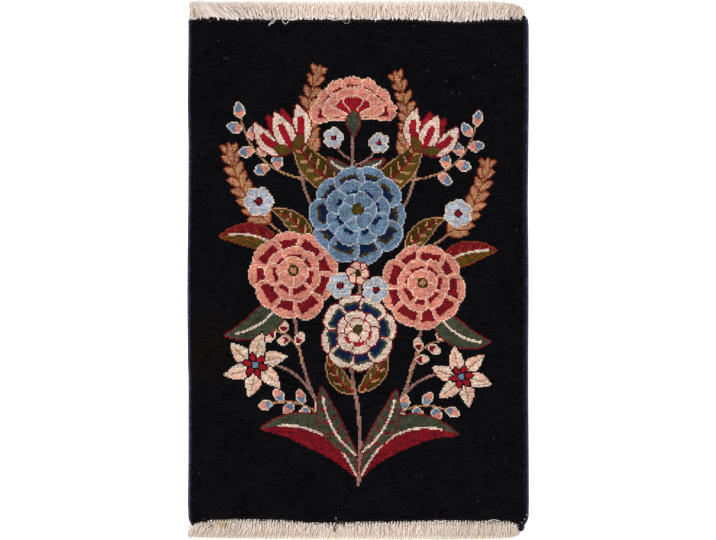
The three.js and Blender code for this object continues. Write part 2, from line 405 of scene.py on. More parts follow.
# Each side stem's foot and tip, its bow and its width
STEMS = [
    ((-16, 46), (-104, 202), 0.12, 4.8),
    ((12, 40), (108, 202), -0.13, 4.8),
    (on(LEFT_STEM, 0.36), (-176, -168), -0.16, 4.6),
    (on(RIGHT_STEM, 0.3), (182, -184), 0.18, 4.6),
    ((-4, 196), (-40, 236), 0.14, 3.6),
    ((-2, 190), (38, 226), -0.14, 3.6),
]
# Pairs of leaves: their edge and rib, how many veins they have and where they are widest; then the left
# one and the right one, each with its foot and tip, its width, its bow and the yarns of its two halves
LEAF_PAIRS = [
    (("tan", "crimson", 7, 0.36), ((-16, 150), (-112, 250), 48, 0.14, "moss", "olive"),
     ((20, 146), (114, 246), 46, -0.15, "olive", "moss")),
    (("crimson", "cream", 0, 0.42), ((-128, -40), (-236, -118), 48, 0.15, "green", "green"),
     ((140, -66), (240, -128), 44, -0.16, "green", "green")),
    (("rust", "cream", 6, 0.42), ((-140, 40), (-246, 58), 42, -0.12, "moss", "crimson"),
     ((150, 8), (250, 34), 40, 0.12, "crimson", "moss")),
    (("tan", "crimson", 5, 0.42), ((-84, 46), (-150, 108), 32, -0.12, "moss", "olive"),
     ((92, 26), (156, 94), 32, 0.12, "olive", "moss")),
    (("crimson", "cream", 0, 0.5), ((0, -368), (-172, -286), 58, -0.22, "crimson", "green"),
     ((8, -368), (182, -294), 56, 0.23, "green", "crimson")),
    (("crimson", "cream", 6, 0.5), ((0, -330), (-62, -206), 38, 0.12, "green", "green"),
     ((6, -326), (70, -214), 36, -0.12, "green", "green")),
    (("tan", "crimson", 4, 0.45), ((-4, -218), (-50, -150), 28, 0.12, "olive", "moss"),
     ((4, -214), (52, -142), 28, -0.12, "moss", "olive")),
    (("crimson", "cream", 0, 0.45), ((-4, 176), (-52, 202), 20, 0.1, "green", "green"),
     ((0, 182), (50, 200), 20, -0.1, "green", "green")),
]
# What is drawn later lies over what is there: stems first, then leaves, then flowers
stroke(np.array(MAIN_STEM), 6.4, "bark")
stroke(LEFT_STEM, 5.6, "bark")
stroke(RIGHT_STEM, 5.6, "bark")
for foot, tip, bend, thick in STEMS:
    stroke(bow(foot, tip, bend), thick, "bark")
frond((-66, 170), (-72, 350), 0.10, 8, 38)
frond((68, 166), (74, 340), -0.12, 8, 36)
frond((-128, 62), (-226, 206), 0.10, 8, 42)
frond((134, 44), (232, 182), -0.11, 8, 40)
bud_sprig((-88, 164), (-208, 272), 0.18, 7, 16, "blue", "coral")
bud_sprig((94, 162), (214, 262), -0.18, 7, 15, "blue", "coral")
bud_sprig(on(LEFT_STEM, 0.2), (-152, -240), -0.2, 6, 14, "coral", "blue")
bud_sprig(on(RIGHT_STEM, 0.16), (160, -250), 0.2, 6, 14, "coral", "blue")
bud_sprig(on(LEFT_STEM, 0.6), (-166, -108), -0.22, 5, 13, "peach", "crimson")
bud_sprig(on(RIGHT_STEM, 0.5), (170, -124), 0.22, 5, 13, "peach", "crimson")
for look, *pair in LEAF_PAIRS:
    for shape in pair:
        leaf(*shape, *look)
tulip((-116, 216), 82, np.pi / 2 + 0.44, "cream", "crimson", "red")
tulip((118, 214), 78, np.pi / 2 - 0.40, "cream", "crimson", "red")
carnation((-6, 268), 80, np.pi / 2 + 0.03, CARNATION_ROWS)
blossom((-42, 238), 17, 0.1, "pale blue", "cream", "crimson", 5)
blossom((40, 228), 17, 0.5, "pale blue", "cream", "crimson", 5)
star_lily((-182, -172), 60, 0.3)
star_lily((188, -190), 56, 0.75)
blossom((-176, 122), 25, 0.1, "pale blue", "cream", "crimson")
blossom((182, 104), 24, 0.4, "pale blue", "cream", "crimson")
rosette((-114, -8), 78, 0.1, CORAL_RINGS)
rosette((118, -30), 74, 0.45, CORAL_RINGS)
rosette((2, -112), 68, 0.2, CREAM_RINGS, ("olive", "green"))
rosette((2, 100), 86, 0.0, BLUE_RINGS, ("olive", "moss"))
blossom((-30, -26), 22, 0.2, "pale blue", "cream", "crimson")
blossom((34, -34), 22, 0.5, "pale blue", "cream", "crimson")
blossom((2, -4), 20, 0.9, "peach", "crimson", "olive")

# Where a dark heart meets its petal the knotter mixed the yarns
SHADED = [NUMBER[yarn] for yarn in ("navy", "olive", "blue")]
MIXED = 0.25  # how many of them changed
for axis, step in ((1, 1), (1, -1), (0, 1)):
    neighbour = np.roll(chart, step, axis)
    mixed = np.isin(chart, SHADED) & np.isin(neighbour, SHADED) & (hand.random(chart.shape) < MIXED)
    chart = np.where(mixed, neighbour, chart)

# The outline of the rug, from the same sizes as its solids. Millimetres: each side bows out and in
# along the rug, and each end of the pile runs out and in across it.
RUG_WIDTH = 610
PILE_LENGTH = 900
PILE_TOP = 9
SELVEDGE_WIDTHS = {"left": 6, "right": 11}
GAP = 0.4
OUTWARD = {"left": -1, "right": 1, "lower": -1, "upper": 1}
SIDE_WAVES = {
    "at": [-450, -444, -415, -343, -235, -195, -150, -56, 16, 123, 231, 302, 374, 444, 450],
    "left": [-1.5, -1, -0.1, -1, -1.2, -1.2, 0.1, 0.8, 0.6, -0.7, -1.2, 0.2, -0.7, -1.2, -1.4],
    "right": [-2, 0.1, 0.7, 0.4, -0.5, -0.6, -0.6, -0.1, -0.2, -1.3, -0.3, 0.4, 0.5, 0.2, -0.4],
}
END_WAVES = {
    "at": [-296, -284, -262, -219, -190, -133, -90, -47, 30, 80, 140, 183, 215, 240, 268, 284, 292],
    "upper": [2.2, 2.3, 3.4, 0.6, 1.6, 0, 1, 1.2, 0.8, 1, -1.4, -3.6, -2, 1.2, 0.6, 0, 0.6],
    "lower": [5, 2.4, -2, -4, -3.4, -1.8, 2.4, 2.8, 0.6, 0, -2, -1.2, 0.2, -2, -0.2, 5, 8.6],
}


def read(table, column, place):
    return np.interp(place, table["at"], table[column])


def pile_end(end, x):
    """Where the pile stops at one end of the rug."""
    return OUTWARD[end] * (PILE_LENGTH / 2 + read(END_WAVES, end, x))


# Beyond the pile the warps of each end part into locks, two knots wide or so, each with its own ways.
# The last knots fill the seams between the locks, like teeth.
FRINGES = {"upper": (-302, 291), "lower": (-293, 290)}
LOCK_PITCH = {"upper": 6, "lower": 5.2}
LOCK_SPREAD = {"upper": (0.5, 1.6), "lower": (0.7, 1.3)}


def part_locks(end, seed):
    """The locks of one end from left to right, with the ways of each."""
    hand = np.random.default_rng(seed)
    start, stop = FRINGES[end]
    locks = []
    while start < stop:
        width = LOCK_PITCH[end] * hand.uniform(*LOCK_SPREAD[end])
        locks.append({
            "middle": start + width / 2, "width": width, "lean": hand.normal(0, 1),
            "wave": hand.uniform(0.3, 1.2), "phase": hand.uniform(0, 2 * np.pi), "lift": hand.uniform(0, 1),
            "tone": hand.normal(1, 0.04), "back": hand.uniform(-0.8, 2),
        })
        start += width
    return locks


LOCKS = {"upper": part_locks("upper", 51), "lower": part_locks("lower", 52)}

# The pile. Wool yarn is knotted round pairs of cotton warps, one knot for each square of the chart,
# and clipped level. It is one thick sheet, worn round along its edges, and its last knots at both
# ends stand ragged over the bare weave.
EDGE_ROUND = 6
EDGE_DROP = 2.2
END_DROP = {"upper": 2.4, "lower": 4.2}  # the last knots spread, so the pile slopes down over them
END_SLOPE = {"upper": 5, "lower": 8}
SIDE_LEAN = 1.3  # how far the last knots of each side lean out
SIDE_PULL = 15  # how far in from each side the knots follow its waves
CLIPPING = 0.3  # how unevenly the shears left the pile
SWAY = 0.3  # how far the cut tips sway from their square
RAGGED = {"upper": 0.9, "lower": 0.8}  # how far the knots along the ends stray
TEETH = {"upper": 1.6, "lower": 3.5}  # how far those between two locks stick out
TEETH_LIMITS = (-2.4, 4)  # no knot along the ends strays further in or out than this
OVERHANG = 0.2
WEAVE_TOP = 2.2  # thickness of the weave, in which the pile stands
FIELD_EDGES = {
    "left": -RUG_WIDTH / 2 + SELVEDGE_WIDTHS["left"] + GAP,
    "right": RUG_WIDTH / 2 - SELVEDGE_WIDTHS["right"] - GAP,
}
FIELD_WIDTH = FIELD_EDGES["right"] - FIELD_EDGES["left"]
FIELD_MIDDLE = (FIELD_EDGES["right"] + FIELD_EDGES["left"]) / 2


def deselect_all():
    bpy.ops.object.select_all(action="DESELECT")


def knot_sheet(name, face, plain):
    """A closed straight sheet in millimetres: a face for each knot at one height, one face at the other."""
    deselect_all()
    bpy.ops.mesh.primitive_grid_add(x_subdivisions=COLUMNS, y_subdivisions=ROWS, size=1)
    sheet = bpy.context.object
    sheet.name = name
    sheet.scale = (FIELD_WIDTH, PILE_LENGTH, 1)
    sheet.location = (FIELD_MIDDLE, 0, face)
    bpy.ops.object.transform_apply(location=True, rotation=True, scale=True)
    bpy.ops.object.mode_set(mode="EDIT")
    bpy.ops.mesh.select_mode(type="EDGE")
    for share in (0.4, 0.6):  # the side walls are two faces high
        bpy.ops.mesh.select_all(action="DESELECT")
        bpy.ops.mesh.select_non_manifold()
        bpy.ops.mesh.extrude_region_move(TRANSFORM_OT_translate={"value": (0, 0, (plain - face) * share)})
    bpy.ops.mesh.edge_face_add()
    bpy.ops.mesh.select_all(action="SELECT")
    bpy.ops.mesh.normals_make_consistent(inside=False)
    bpy.ops.object.mode_set(mode="OBJECT")
    return sheet


def points_of(piece):
    points = np.empty(len(piece.data.vertices) * 3)
    piece.data.vertices.foreach_get("co", points)
    return points.reshape(-1, 3)


def move_points(piece, points):
    """Gives a piece that was shaped in millimetres its place in metres."""
    piece.data.vertices.foreach_set("co", (points * MM).ravel())
    piece.data.update()


def face_middles(piece):
    """Where the middle of each face of a piece lies."""
    middles = np.empty(len(piece.data.polygons) * 3)
    piece.data.polygons.foreach_get("center", middles)
    return middles.reshape(-1, 3)


def knots_of(piece):
    """The row and the column of the knot that each face belongs to."""
    middles = face_middles(piece)
    across = (middles[:, 0] - FIELD_EDGES["left"]) / FIELD_WIDTH
    along = middles[:, 1] / PILE_LENGTH + 0.5
    column = np.clip((across * COLUMNS).astype(int), 0, COLUMNS - 1)
    row = np.clip((along * ROWS).astype(int), 0, ROWS - 1)
    return row, column


def follow_outline(points):
    """Moves a straight sheet's points to the rug's real outline, and says how far from an edge each is."""
    x, y = points[:, 0].copy(), points[:, 1].copy()
    side = np.where(x < 0, -1, 1)
    edge = np.where(x < 0, FIELD_EDGES["left"], FIELD_EDGES["right"])
    wave = np.where(x < 0, read(SIDE_WAVES, "left", y), read(SIDE_WAVES, "right", y))
    from_side = np.abs(x - edge)
    nearest = np.minimum(from_side, PILE_LENGTH / 2 - np.abs(y))
    points[:, 0] = x + side * wave * np.clip(1 - from_side / SIDE_PULL, 0, 1)
    lower, upper = pile_end("lower", points[:, 0]), pile_end("upper", points[:, 0])
    points[:, 1] = lower + (upper - lower) * (y / PILE_LENGTH + 0.5)
    return nearest


def paint_faces(piece, name, colours):
    """Stores a linear colour for each face."""
    layer = piece.data.attributes.new(name, "FLOAT_COLOR", "FACE")
    full = np.ones((len(colours), 4))
    full[:, :3] = colours
    layer.data.foreach_set("color", full.ravel())


pile = knot_sheet("pile", PILE_TOP, WEAVE_TOP + GAP)
pile_knots = knots_of(pile)
points = points_of(pile)
shears = np.random.default_rng(17)
straight = points.copy()
on_top = points[:, 2] > PILE_TOP - 0.01
worn = np.clip(1 - follow_outline(points) / EDGE_ROUND, 0, 1)
points[:, 2] -= np.where(on_top, EDGE_DROP * worn ** 2, 0)
from_end = PILE_LENGTH / 2 - np.abs(straight[:, 1])
for end in ("lower", "upper"):
    spread = END_DROP[end] * np.clip(1 - from_end / END_SLOPE[end], 0, 1) ** 2
    points[:, 2] -= np.where(on_top & (straight[:, 1] * OUTWARD[end] > 0), spread, 0)
# The last knots of each side lean out over the selvedge
at_side = np.abs(straight[:, 0] - FIELD_MIDDLE) > FIELD_WIDTH / 2 - 0.1
points[:, 0] += np.where(on_top & at_side, np.where(straight[:, 0] < 0, -SIDE_LEAN, SIDE_LEAN), 0)
points[:, 2] += np.where(on_top, shears.normal(0, CLIPPING, len(points)), 0)
points[:, :2] += on_top[:, None] * shears.normal(0, SWAY, (len(points), 2))
column = np.clip((straight[:, 0] - FIELD_EDGES["left"]) / FIELD_WIDTH, 0, 1)
column = np.round(column * COLUMNS).astype(int)
knot_edges = np.linspace(FIELD_EDGES["left"], FIELD_EDGES["right"], COLUMNS + 1)
for end in ("lower", "upper"):
    seams = np.array([lock["middle"] + lock["width"] / 2 for lock in LOCKS[end]])
    from_seam = np.abs(knot_edges[:, None] - seams).min(axis=1)
    tufts = OVERHANG + shears.normal(0, RAGGED[end], COLUMNS + 1)
    tufts += np.where(from_seam < KNOT / 2, TEETH[end] * shears.uniform(0.4, 1.3, COLUMNS + 1), -0.3)
    last = (straight[:, 1] * OUTWARD[end] > PILE_LENGTH / 2 - 0.1) & (points[:, 2] > PILE_TOP / 2)
    points[:, 1] += np.where(last, OUTWARD[end] * np.clip(tufts, *TEETH_LIMITS)[column], 0)
move_points(pile, points)

# Each knot takes the dye in its own way. Runs of knots along a row lie beaten down together, runs
# up a warp lean together, and hanks change from patch to patch. The ground is oldest and most uneven.
UNEVEN = {"ground": 1.5, "other": 0.95}
HUE_SHIFTS = {"ground": 0.025, "other": 0.07}
END_DUST = "2E2424"  # the last two rows at each end are worn and dusty, so their black is a warm brown
WOOL_DEPTH = 0.87  # the light is bright for the cotton's sake, so the yarns above are taken darker
BROWNED = {"at": (-262, -140), "radius": 62}  # where the black has turned a little brown
FLECK_LIGHT = "3A3836"  # a wisp of pale lint or a thin knot that lets the cotton through
FLECKS = [
    (-239, 378), (-233, 378), (102, 437), (127, 358), (159, 342), (170, 320), (183, 320), (209, 349),
    (249, 367), (-264, 444), (-249, 410), (288, 77), (286, 71), (-282, -359), (218, -413), (245, -303),
    (-273, -443.3), (-40, -443),
]
dyer = np.random.default_rng(23)


def runs(down, across):
    """Noise that holds over some rows and columns of knots."""
    noise = dyer.standard_normal((ROWS, COLUMNS))
    held = sum(np.roll(noise, (i, j), (0, 1)) for i in range(down) for j in range(across))
    return held[:, :, None] / np.sqrt(down * across)


yarn_colours = np.array([[linear(colour)[:3] for colour in hanks] for hanks in YARNS.values()])
knot_x = (np.arange(COLUMNS) - MIDDLE[0]) * KNOT
knot_y = (np.arange(ROWS)[:, None] - MIDDLE[1]) * KNOT
browned = (knot_x - BROWNED["at"][0]) ** 2 + (knot_y - BROWNED["at"][1]) ** 2
browned = np.exp(-browned / BROWNED["radius"] ** 2)
hank = 0.4 + 0.3 * runs(5, 4) + 0.3 * runs(1, 1)
hank = np.where(chart[:, :, None] == 0, 0.3 * hank + 0.8 * browned[:, :, None], hank)
hank = np.clip(hank, 0, 1)
tone = 0.12 * runs(1, 1) + 0.13 * runs(1, 5) + 0.05 * runs(5, 1) + 0.05 * runs(14, 12)
is_ground = (chart == 0)[:, :, None]
tone = np.clip(1 + tone * np.where(is_ground, UNEVEN["ground"], UNEVEN["other"]), 0.35, 1.9)
knot_colours = (yarn_colours[chart, 0] * (1 - hank) + yarn_colours[chart, 1] * hank) * tone
hue_shift = np.where(is_ground, HUE_SHIFTS["ground"], HUE_SHIFTS["other"])
knot_colours *= 1 + hue_shift * dyer.standard_normal((ROWS, COLUMNS, 3))
rows_inside = np.minimum(np.arange(ROWS), ROWS - 1 - np.arange(ROWS))[:, None, None]
dusty = np.clip(1 - rows_inside / 2, 0, 1) * dyer.uniform(0.2, 1, (ROWS, COLUMNS, 1))
knot_colours += np.array(linear(END_DUST)[:3]) * dusty
for x, y in FLECKS:
    fleck_column, fleck_row = (np.array([x, y]) / KNOT + MIDDLE).round().astype(int)
    knot_colours[fleck_row, fleck_column] += linear(FLECK_LIGHT)[:3]
knot_colours = np.clip(knot_colours * WOOL_DEPTH, 0.001, 1)
paint_faces(pile, "yarn", knot_colours[pile_knots])

# Wool yarn, dyed and cut: a matt, soft surface in which each knot shows as a small round tuft. The
# cut ends drink the light, so it hardly shines, and only a low light shows a haze on it.
wool, tree, shader = new_material("dyed_wool_cut_pile")
shader.inputs["Roughness"].default_value = 0.95
shader.inputs["Specular IOR Level"].default_value = 0.01
shader.inputs["Sheen Weight"].default_value = 0.01
shader.inputs["Sheen Roughness"].default_value = 0.6
yarn = add_node(tree, "Attribute", {}, attribute_name="yarn").outputs["Color"]
place = add_node(tree, "UVMap", {}, uv_map="UVMap").outputs["UV"]
knots = add_node(tree, "Mapping", {"Vector": place, "Scale": (COLUMNS, ROWS, 1)}).outputs["Vector"]
within = add_node(tree, "VectorMath", {0: knots}, operation="FRACTION").outputs["Vector"]
off = add_node(tree, "VectorMath", {0: within, 1: (0.5, 0.5, 0)}, operation="DISTANCE").outputs["Value"]
tuft = add_node(
    tree, "MapRange", {"Value": off, "From Min": 0.15, "From Max": 0.7, "To Min": 1, "To Max": 0},
    interpolation_type="SMOOTHSTEP").outputs["Result"]
spot = add_node(tree, "TexCoord", {}).outputs["Object"]
fibres = add_node(tree, "TexNoise", {"Vector": spot, "Scale": 1 / (1.3 * MM), "Detail": 2}).outputs["Fac"]
nap = add_node(tree, "TexNoise", {"Vector": spot, "Scale": 1 / (70 * MM), "Detail": 3}).outputs["Fac"]
# Painted shade: each knot's colour is darkened towards its edge, between the tufts, and lightened in its
# middle
tuft_painted_shade = add_node(
    tree, "MapRange", {"Value": tuft, "To Min": 0.66, "To Max": 1.14}).outputs["Result"]
fibre_shade = add_node(tree, "MapRange", {"Value": fibres, "To Min": 0.7, "To Max": 1.3}).outputs["Result"]
nap_shade = add_node(tree, "MapRange", {"Value": nap, "To Min": 0.8, "To Max": 1.2}).outputs["Result"]
both = add_node(tree, "Math", {0: tuft_painted_shade, 1: fibre_shade}, operation="MULTIPLY").outputs["Value"]
whole = add_node(tree, "Math", {0: both, 1: nap_shade}, operation="MULTIPLY").outputs["Value"]
shaded = add_node(tree, "VectorMath", {0: yarn, "Scale": whole}, operation="SCALE").outputs["Vector"]
tree.links.new(shaded, shader.inputs["Base Color"])
fuzz = add_node(tree, "Math", {0: fibres, 1: 0.5}, operation="MULTIPLY").outputs["Value"]
relief = add_node(tree, "Math", {0: tuft, 1: fuzz}, operation="ADD").outputs["Value"]
bump = add_node(tree, "Bump", {"Height": relief, "Strength": 0.6, "Distance": 0.6 * MM}).outputs["Normal"]
tree.links.new(bump, shader.inputs["Normal"])
pile.data.materials.append(wool)
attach(pile, "root")
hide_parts("knotted_field")


# The weave. Cotton warps and wefts hold the knots. On the back each knot shows as two small nodes
# in its own colour, flatter and duller than the pile, with fine lines of cotton weft between rows.
BACK_RELIEF = 0.15  # mm
WEAVE_SHORT = 1.2  # mm at each end that the last knots cover
weave = knot_sheet("weave", 0, WEAVE_TOP)
weave_knots = knots_of(weave)
points = points_of(weave)
on_back = points[:, 2] < 0.01
follow_outline(points)
points[:, 1] *= 1 - WEAVE_SHORT / (PILE_LENGTH / 2)
points[:, 2] += np.where(on_back, shears.uniform(0, BACK_RELIEF, len(points)), 0)
move_points(weave, points)
paint_faces(weave, "yarn", knot_colours[weave_knots])

# Wool yarn drawn tight round cotton: matt and even, a little greyer than the cut pile
backs, tree, shader = new_material("wool_knots_on_cotton_weave")
shader.inputs["Roughness"].default_value = 0.9
shader.inputs["Specular IOR Level"].default_value = 0.08
yarn = add_node(tree, "Attribute", {}, attribute_name="yarn").outputs["Color"]
place = add_node(tree, "UVMap", {}, uv_map="UVMap").outputs["UV"]
nodes = add_node(tree, "Mapping", {"Vector": place, "Scale": (2 * COLUMNS, ROWS, 1)}).outputs["Vector"]
within = add_node(tree, "VectorMath", {0: nodes}, operation="FRACTION").outputs["Vector"]
aside = add_node(tree, "VectorMath", {0: within, 1: (0.5, 0.5, 0)}, operation="SUBTRACT").outputs["Vector"]
aside = add_node(tree, "VectorMath", {0: aside}, operation="ABSOLUTE").outputs["Vector"]
aside = add_node(tree, "SeparateXYZ", {"Vector": aside})
weft = add_node(
    tree, "MapRange", {"Value": aside.outputs["Y"], "From Min": 0.3, "From Max": 0.5, "To Max": 0.35},
    interpolation_type="SMOOTHSTEP").outputs["Result"]
# Painted light and shade: each node's colour is lighter in its middle and darker in the groove between the
# two nodes of a knot
node = add_node(
    tree, "MapRange",
    {"Value": aside.outputs["X"], "From Min": 0.15, "From Max": 0.5, "To Min": 1.1, "To Max": 0.7},
    interpolation_type="SMOOTHSTEP").outputs["Result"]
knotted = add_node(tree, "VectorMath", {0: yarn, "Scale": node}, operation="SCALE").outputs["Vector"]
woven = add_node(
    tree, "MixRGB", {"Fac": weft, "Color1": knotted, "Color2": linear("8A8175")},
    blend_type="MIX").outputs["Color"]
tree.links.new(woven, shader.inputs["Base Color"])
bump = add_node(tree, "Bump", {"Height": node, "Strength": 0.5, "Distance": 0.3 * MM}).outputs["Normal"]
tree.links.new(bump, shader.inputs["Normal"])
weave.data.materials.append(backs)
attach(weave, "root")
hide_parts("knotted_field")


# The selvedges. The outer warps of each side are wrapped all the way with dark indigo wool, one on
# the left and a pair on the right, where the wool shows two columns with a groove between them. At
# its ends the wrapping runs out past the pile and turns in, tapering.
SELVEDGE_HEIGHT = 6
SELVEDGE_EVEN = 440
WRAP_PITCH = 2.4
WRAP_SIDES = 12
WRAP_LOOSE = 0.06  # how much the turns differ in tightness, in place and in slant
WRAP_SLIP = 0.16
WRAP_SLANT = (0.30, 0.12)
WRAP_THICK = 0.26  # of the yarn, as a share of half the cord's width
PROUD = {"left": 0.8, "right": 0.5}  # how far the wrapping stands out past the solid
# At each tail's places: how far past the pile it is, how far it has turned in, and how wide it is there
SELVEDGE_TAILS = {
    ("left", "lower"): [(-4, 0.9, 6.5), (2, 3.6, 6.4), (5.5, 5.2, 4.4), (7, 6, 2)],
    ("left", "upper"): [(-2, 0.3, 6.8), (0.6, 1.2, 5)],
    ("right", "lower"): [(-4, 0.4, 10.5), (0, 2.6, 10), (3.5, 4.4, 10), (10, 6.6, 11), (13, 7.2, 11),
                         (16, 7.6, 8), (17.6, 7.8, 3.5)],
    ("right", "upper"): [(0, 0.7, 11.5), (3, 1, 9), (6, 1.8, 5.5), (8.6, 2.6, 2)],
}


def selvedge_route(side):
    """Points down the middle of a selvedge, from its lower end to its upper, and its width at each."""
    outward = OUTWARD[side]
    half = SELVEDGE_WIDTHS[side] / 2
    even = [y for y in SIDE_WAVES["at"] if abs(y) < SELVEDGE_EVEN]
    route = []
    for past, inward, width in reversed(SELVEDGE_TAILS[side, "lower"]):
        route.append((outward * (RUG_WIDTH / 2 - half - inward), -PILE_LENGTH / 2 - past, width))
    for y in (-SELVEDGE_EVEN, *even, SELVEDGE_EVEN):
        bowed = RUG_WIDTH / 2 + read(SIDE_WAVES, side, y) + PROUD[side] / 2
        route.append((outward * (bowed - half), y, SELVEDGE_WIDTHS[side] + PROUD[side]))
    for past, inward, width in SELVEDGE_TAILS[side, "upper"]:
        route.append((outward * (RUG_WIDTH / 2 - half - inward), PILE_LENGTH / 2 + past, width))
    return np.array(route, float)


def wrapped_cord(route, height, blotch, seed):
    """Rings of yarn side by side along a route, where each face lies across it, and each ring's tone."""
    lengths = np.hypot(*np.diff(route[:, :2], axis=0).T)
    travelled = np.concatenate([[0], np.cumsum(lengths)])
    count = int(travelled[-1] / WRAP_PITCH)
    deselect_all()
    bpy.ops.mesh.primitive_torus_add(
        major_segments=WRAP_SIDES, minor_segments=6, major_radius=1 - WRAP_THICK, minor_radius=WRAP_THICK,
        rotation=(np.pi / 2, 0, 0))
    cord = bpy.context.object
    bpy.ops.object.transform_apply(location=True, rotation=True, scale=True)
    array = cord.modifiers.new("wraps", "ARRAY")
    array.count = count
    array.use_relative_offset = False
    array.use_constant_offset = True
    array.constant_offset_displace = (0, 1, 0)
    bpy.ops.object.modifier_apply(modifier=array.name)
    faces_across = face_middles(cord)[:, 0]
    points = points_of(cord)
    wrap = np.repeat(np.arange(count), len(points) // count)
    along = points[:, 1] - wrap
    hand = np.random.default_rng(seed)
    tight = 1 + WRAP_LOOSE * hand.standard_normal(count)
    slip = WRAP_SLIP * hand.standard_normal(count)
    slant = WRAP_SLANT[0] + WRAP_SLANT[1] * hand.standard_normal(count)
    middle = (wrap + 0.5 + slip[wrap]) * travelled[-1] / count
    middle_x = np.interp(middle, travelled, route[:, 0])
    middle_y = np.interp(middle, travelled, route[:, 1])
    before, after = middle - 1, middle + 1
    ahead_x = np.interp(after, travelled, route[:, 0]) - np.interp(before, travelled, route[:, 0])
    ahead_y = np.interp(after, travelled, route[:, 1]) - np.interp(before, travelled, route[:, 1])
    long = np.hypot(ahead_x, ahead_y)
    ahead_x, ahead_y = ahead_x / long, ahead_y / long
    width = np.interp(middle, travelled, route[:, 2])
    across = points[:, 0] * width / 2 * tight[wrap]
    forward = along / WRAP_THICK * WRAP_PITCH * 0.56 + slant[wrap] * points[:, 0] * WRAP_PITCH
    up = np.clip(points[:, 2] * 1.12, -1, 2)
    points[:, 0] = middle_x + ahead_y * across + ahead_x * forward
    points[:, 1] = middle_y - ahead_x * across + ahead_y * forward
    points[:, 2] = height / 2 * (1 + up * tight[wrap])
    points[:, 2] = np.maximum(points[:, 2], 0.02)
    move_points(cord, points)
    blotches = np.convolve(hand.standard_normal(count + 2), [0.58, 0.58, 0.58], mode="valid")
    tone = np.clip(1 + 0.12 * hand.standard_normal(count) + blotch * blotches, 0.25, 2.2)
    return cord, faces_across, tone


def warp_core(route, height):
    """The bundle of warps inside the wrapping: a plain flat rope, closed at both ends."""
    rings = len(route)
    deselect_all()
    bpy.ops.mesh.primitive_cylinder_add(vertices=8, radius=1, depth=1, end_fill_type="NGON")
    core = bpy.context.object
    bpy.ops.object.transform_apply(location=True, rotation=True, scale=True)
    bpy.ops.object.mode_set(mode="EDIT")
    for row in range(1, rings - 1):
        share = row / (rings - 1) - 0.5
        bpy.ops.mesh.select_all(action="SELECT")
        bpy.ops.mesh.bisect(plane_co=(0, 0, share), plane_no=(0, 0, 1))
    bpy.ops.object.mode_set(mode="OBJECT")
    points = points_of(core)
    row = np.round((points[:, 2] + 0.5) * (rings - 1)).astype(int)
    before, after = route[np.maximum(row - 1, 0), :2], route[np.minimum(row + 1, rings - 1), :2]
    ahead = (after - before) / np.hypot(*(after - before).T)[:, None]
    across = points[:, 0] * (route[row, 2] * 0.5 + 0.5)
    up = points[:, 1].copy()
    points[:, 0] = route[row, 0] + ahead[:, 1] * across
    points[:, 1] = route[row, 1] - ahead[:, 0] * across
    points[:, 2] = height * (0.45 + 0.36 * up)
    move_points(core, points)
    return core


def join(first, *others):
    """Makes other pieces part of the first."""
    deselect_all()
    for piece in (first, *others):
        piece.select_set(True)
    bpy.context.view_layer.objects.active = first
    bpy.ops.object.join()
    return first


# The cords of each side: whether one is the inner or the outer, and how much of the width it takes; how
# blotched its dye is, with the seed for that; its wool at its upper end and at its lower; and across
# it, from its inner side outward, a factor of painted light and shade on its colour, and how much of a
# painted grey sheen lies on it at the rim
CORDS = {
    "left": [(0, 1, 0.34, 31, ("2A263A", "2E2A45"), (1.6, 0.4, 1, 2), (0, 0, 0.08, 0.5))],
    "right": [
        (-1, 0.46, 0.4, 32, ("151420", "100F1A"), (1, 1, 1, 0.8), (0, 0, 0, 0)),
        (1, 0.54, 0.62, 33, ("2B2644", "1C1830"), (0.5, 0.5, 1.1, 2), (0, 0, 0.1, 0.55)),
    ],
}
ACROSS = (-0.9, -0.5, 0, 0.6)
# A grey that each cord's rim is mixed towards, as a painted sheen of wool fibres catching the light
SHEEN_GREY = np.array(linear("5C5A62")[:3])
# The core shows only between the turns, so it takes the wool's colour darkened as painted shade
CORE_SHADE = 0.35
selvedges = {}
for side in ("left", "right"):
    route = selvedge_route(side)
    cords = []
    for lane, share, blotch, seed, colours, light_and_shade_across, sheen_across in CORDS[side]:
        lane_route = route.copy()
        lane_route[:, 0] += lane * route[:, 2] * (1 - share) / 2
        lane_route[:, 2] *= share
        cord, across, tone = wrapped_cord(lane_route, SELVEDGE_HEIGHT, blotch, seed)
        upper, lower = (np.array(linear(colour)[:3]) for colour in colours)
        along = np.clip(face_middles(cord)[:, 1] / (PILE_LENGTH * MM) + 0.5, 0, 1)[:, None]
        # Across each cord its colour is lightened and darkened as painted light and shade, and at the rim
        # mixed towards grey as a painted sheen
        depth = np.repeat(tone, len(along) // len(tone)) * np.interp(OUTWARD[side] * across, ACROSS, light_and_shade_across)
        rim_sheen = np.interp(OUTWARD[side] * across, ACROSS, sheen_across)[:, None]
        yarn = (lower * (1 - along) + upper * along) * depth[:, None] * WOOL_DEPTH
        paint_faces(cord, "yarn", yarn * (1 - rim_sheen) + SHEEN_GREY * rim_sheen)
        cords.append(cord)
    core = warp_core(route, SELVEDGE_HEIGHT)
    # The core is painted in the wool's colour, darkened as painted shade in the gaps between the turns
    paint_faces(core, "yarn", np.tile((upper + lower) / 2 * CORE_SHADE, (len(core.data.polygons), 1)))
    selvedges[side] = join(*cords, core)
    selvedges[side].name = "selvedge_wraps_" + side
    bpy.ops.object.shade_smooth()

